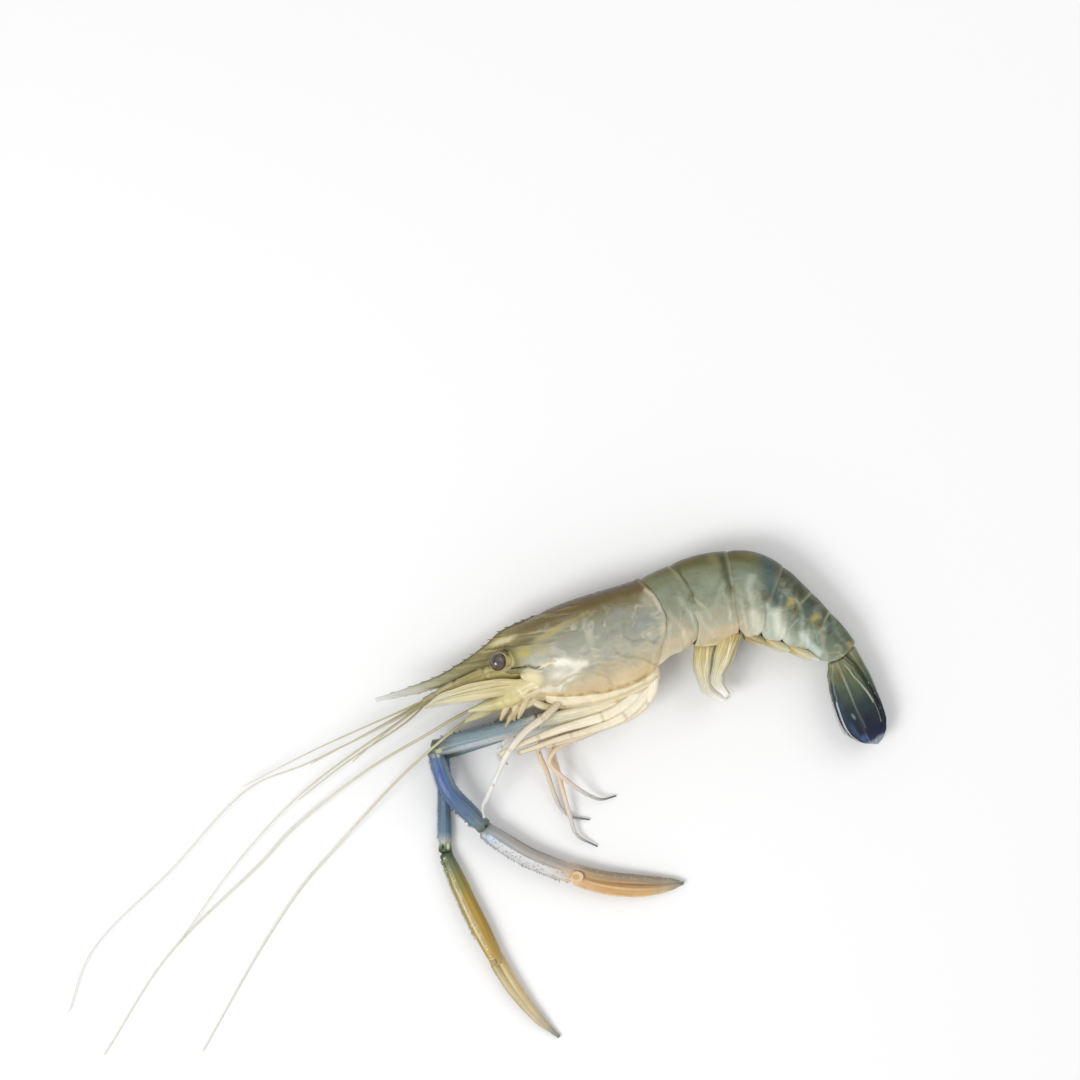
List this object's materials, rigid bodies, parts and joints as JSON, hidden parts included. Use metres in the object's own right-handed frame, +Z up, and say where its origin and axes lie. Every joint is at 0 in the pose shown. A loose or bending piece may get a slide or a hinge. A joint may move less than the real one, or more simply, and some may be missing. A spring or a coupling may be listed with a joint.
{
  "type": "raw giant river prawn",
  "caption": "Raw freshwater prawn lying on its right side: toothed rostrum, carapace, arched ringed abdomen, tail fan, two long slender claws, walking legs, swimmerets and whip-like feelers.",
  "frame": {"origin": "middle of the footprint, on the surface that the prawn lies on", "axes": "+Z up off the table to the animal's left side, +X from the head towards the tail, +Y towards the animal's back"},
  "size_m": [0.3468, 0.2148, 0.0319],
  "materials": {
    "carapace_shell": "moist translucent shell, grey-lilac flank over cream, olive back",
    "front_abdomen_shell": "moist translucent shell, grey-green, olive along the back, peach at the belly",
    "rear_abdomen_shell": "moist shell, slate blue-green with ochre and orange spots",
    "tail_fan": "thin ribbed blades, slate green running to navy blue",
    "membrane": "soft tan membrane between the leg bases",
    "leg": "cream translucent leg shell",
    "claw_blue": "royal blue to grey-blue shell with short spines",
    "claw_palm": "pale grey shell, olive-gold on the lower claw, with rows of dark spines",
    "claw_finger": "peach to tan shell, grey-brown on top and dark at the tip",
    "eye": "dark brown wet bead on a pale stalk",
    "feeler": "straw-coloured stems, scales and whips",
    "swimmeret": "translucent cream-yellow paddles with a soft fringe"
  },
  "bodies": {
    "root": {"eye_left": "eye", "eye_right": "eye", "carapace": "carapace_shell", "abdomen_1": "front_abdomen_shell", "abdomen_2": "front_abdomen_shell", "abdomen_3": "front_abdomen_shell", "abdomen_4": "rear_abdomen_shell", "abdomen_5": "rear_abdomen_shell", "abdomen_6": "rear_abdomen_shell", "breast": "membrane", "antennule_left": "feeler", "antenna_left": "feeler", "antennal_scale_left": "feeler", "mouth_leg_left": "leg", "small_claw_leg_left": "leg", "claw_left_base": "leg", "claw_left_arm": "claw_blue", "claw_left_wrist": "claw_blue", "claw_left_palm": "claw_palm", "claw_left_finger": "claw_finger", "walking_leg_1_left": "leg", "walking_leg_2_left": "leg", "walking_leg_3_left": "leg", "antennule_right": "feeler", "antenna_right": "feeler", "antennal_scale_right": "feeler", "mouth_leg_right": "leg", "small_claw_leg_right": "leg", "claw_right_base": "leg", "claw_right_arm": "claw_blue", "claw_right_wrist": "claw_blue", "claw_right_palm": "claw_palm", "claw_right_finger": "claw_finger", "walking_leg_1_right": "leg", "walking_leg_2_right": "leg", "walking_leg_3_right": "leg", "telson": "tail_fan", "tail_blade_outer_left": "tail_fan", "tail_blade_inner_left": "tail_fan", "swimmeret_1_left": "swimmeret", "swimmeret_2_left": "swimmeret", "swimmeret_3_left": "swimmeret", "swimmeret_4_left": "swimmeret", "swimmeret_5_left": "swimmeret", "tail_blade_outer_right": "tail_fan", "tail_blade_inner_right": "tail_fan", "swimmeret_1_right": "swimmeret", "swimmeret_2_right": "swimmeret", "swimmeret_3_right": "swimmeret", "swimmeret_4_right": "swimmeret", "swimmeret_5_right": "swimmeret"}
  },
  "joints": []
}
